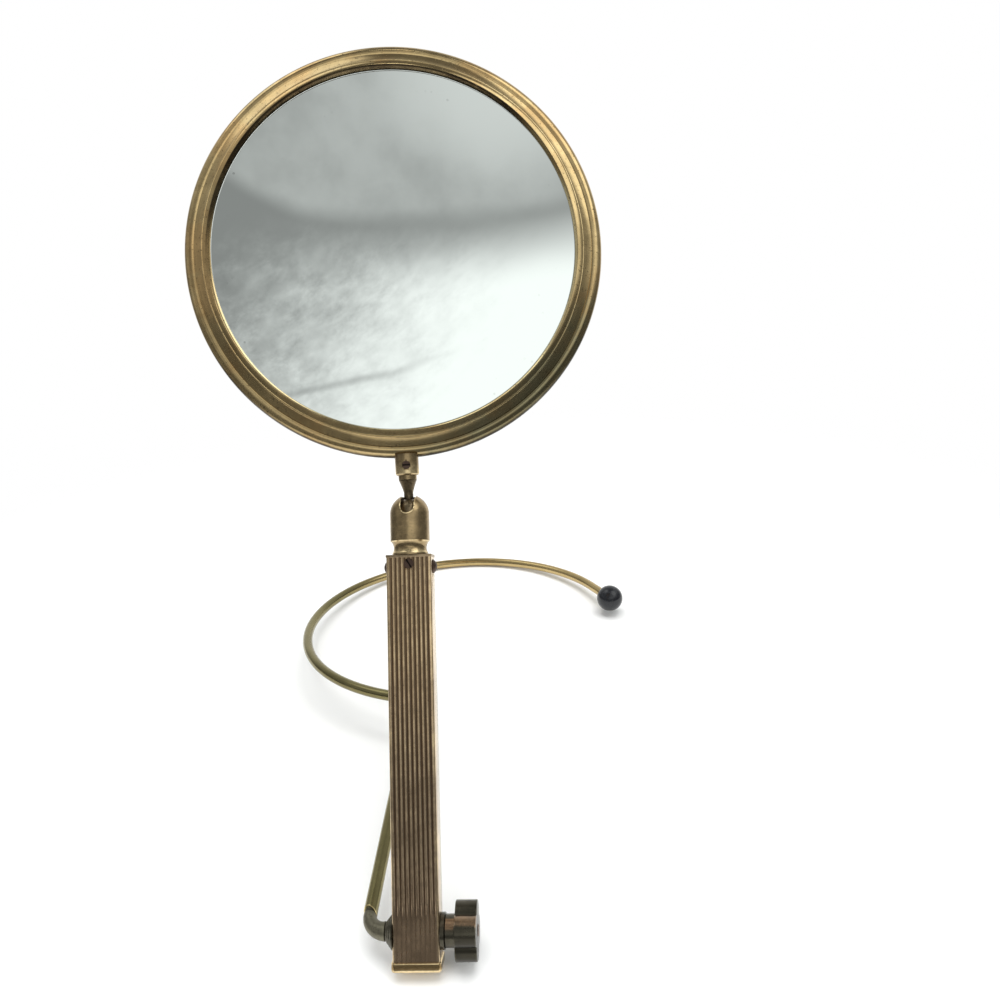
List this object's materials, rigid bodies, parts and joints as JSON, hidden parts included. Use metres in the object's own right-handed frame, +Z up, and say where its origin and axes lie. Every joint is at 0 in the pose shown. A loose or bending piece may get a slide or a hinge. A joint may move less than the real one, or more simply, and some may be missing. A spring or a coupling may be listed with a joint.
{
  "type": "vanity mirror",
  "caption": "Round tilting mirror in a moulded brass frame, on a ball joint atop a fluted column that a lobed knob clamps to a bent tube base with an open ring",
  "frame": {"origin": "on the table, below the middle of the object's box as it stands in use", "axes": "+Z up, the mirror faces -Y, +X towards the clamping knob, the base ring lies behind along +Y"},
  "size_m": [0.2258, 0.3692, 0.3629],
  "materials": {
    "frame_brass": "spun brass with an uneven brown patina, worn bright on the beads",
    "stem_brass": "turned brass with a brown patina",
    "column_brass": "drawn brass, brown in the flutes and tan on the reeds",
    "cap_brass": "polished brass",
    "tube_brass": "drawn brass tube, greenish yellow",
    "dark_bronze": "dark bronzed brass",
    "screw_steel": "bronzed steel",
    "glass": "silvered glass with a few age specks near the rim",
    "card": "grey-brown card",
    "black_ball": "glossy black"
  },
  "bodies": {
    "base": {"base_tube": "tube_brass", "elbow": "dark_bronze", "cone_washer": "dark_bronze", "pivot_bolt": "screw_steel", "ball_tip": "black_ball"},
    "column": {"column_tube": "column_brass", "bottom_cap": "cap_brass", "top_plug": "column_brass", "face_screw": "screw_steel", "side_screws": "screw_steel", "pivot_bush": "dark_bronze", "clamp_washer": "dark_bronze", "socket_base": "stem_brass", "socket_cap": "stem_brass", "ball_seat": "stem_brass", "seat_spring": "screw_steel"},
    "ball": {"joint_ball": "stem_brass"},
    "head": {"ball_stud": "stem_brass", "stem_sleeve": "stem_brass", "sleeve_screw": "screw_steel", "mirror_frame": "frame_brass", "mirror_glass": "glass", "backing_card": "card", "back_cover": "frame_brass", "retaining_ring": "frame_brass"},
    "knob": {"clamp_knob": "dark_bronze", "knob_collar": "dark_bronze"}
  },
  "joints": [
    {"name": "column_lean", "type": "hinge", "parent": "base", "child": "column", "pos_m": [-0.00389, -0.17222, 0.01517], "axis": [1, 0, 0], "range_deg": [-40, 200]},
    {"name": "head_nod", "type": "hinge", "parent": "column", "child": "ball", "pos_m": [-0.00389, -0.08031, 0.16936], "axis": [1, 0, 0], "range_deg": [-10, 75]},
    {"name": "head_swivel", "type": "hinge", "parent": "ball", "child": "head", "pos_m": [-0.00389, -0.08031, 0.16936], "axis": [-0.0209, 0.4241, 0.9054], "continuous": true},
    {"name": "knob_turn", "type": "hinge", "parent": "base", "child": "knob", "pos_m": [-0.00389, -0.17222, 0.01517], "axis": [1, 0, 0], "range_deg": [-30, 360]}
  ]
}
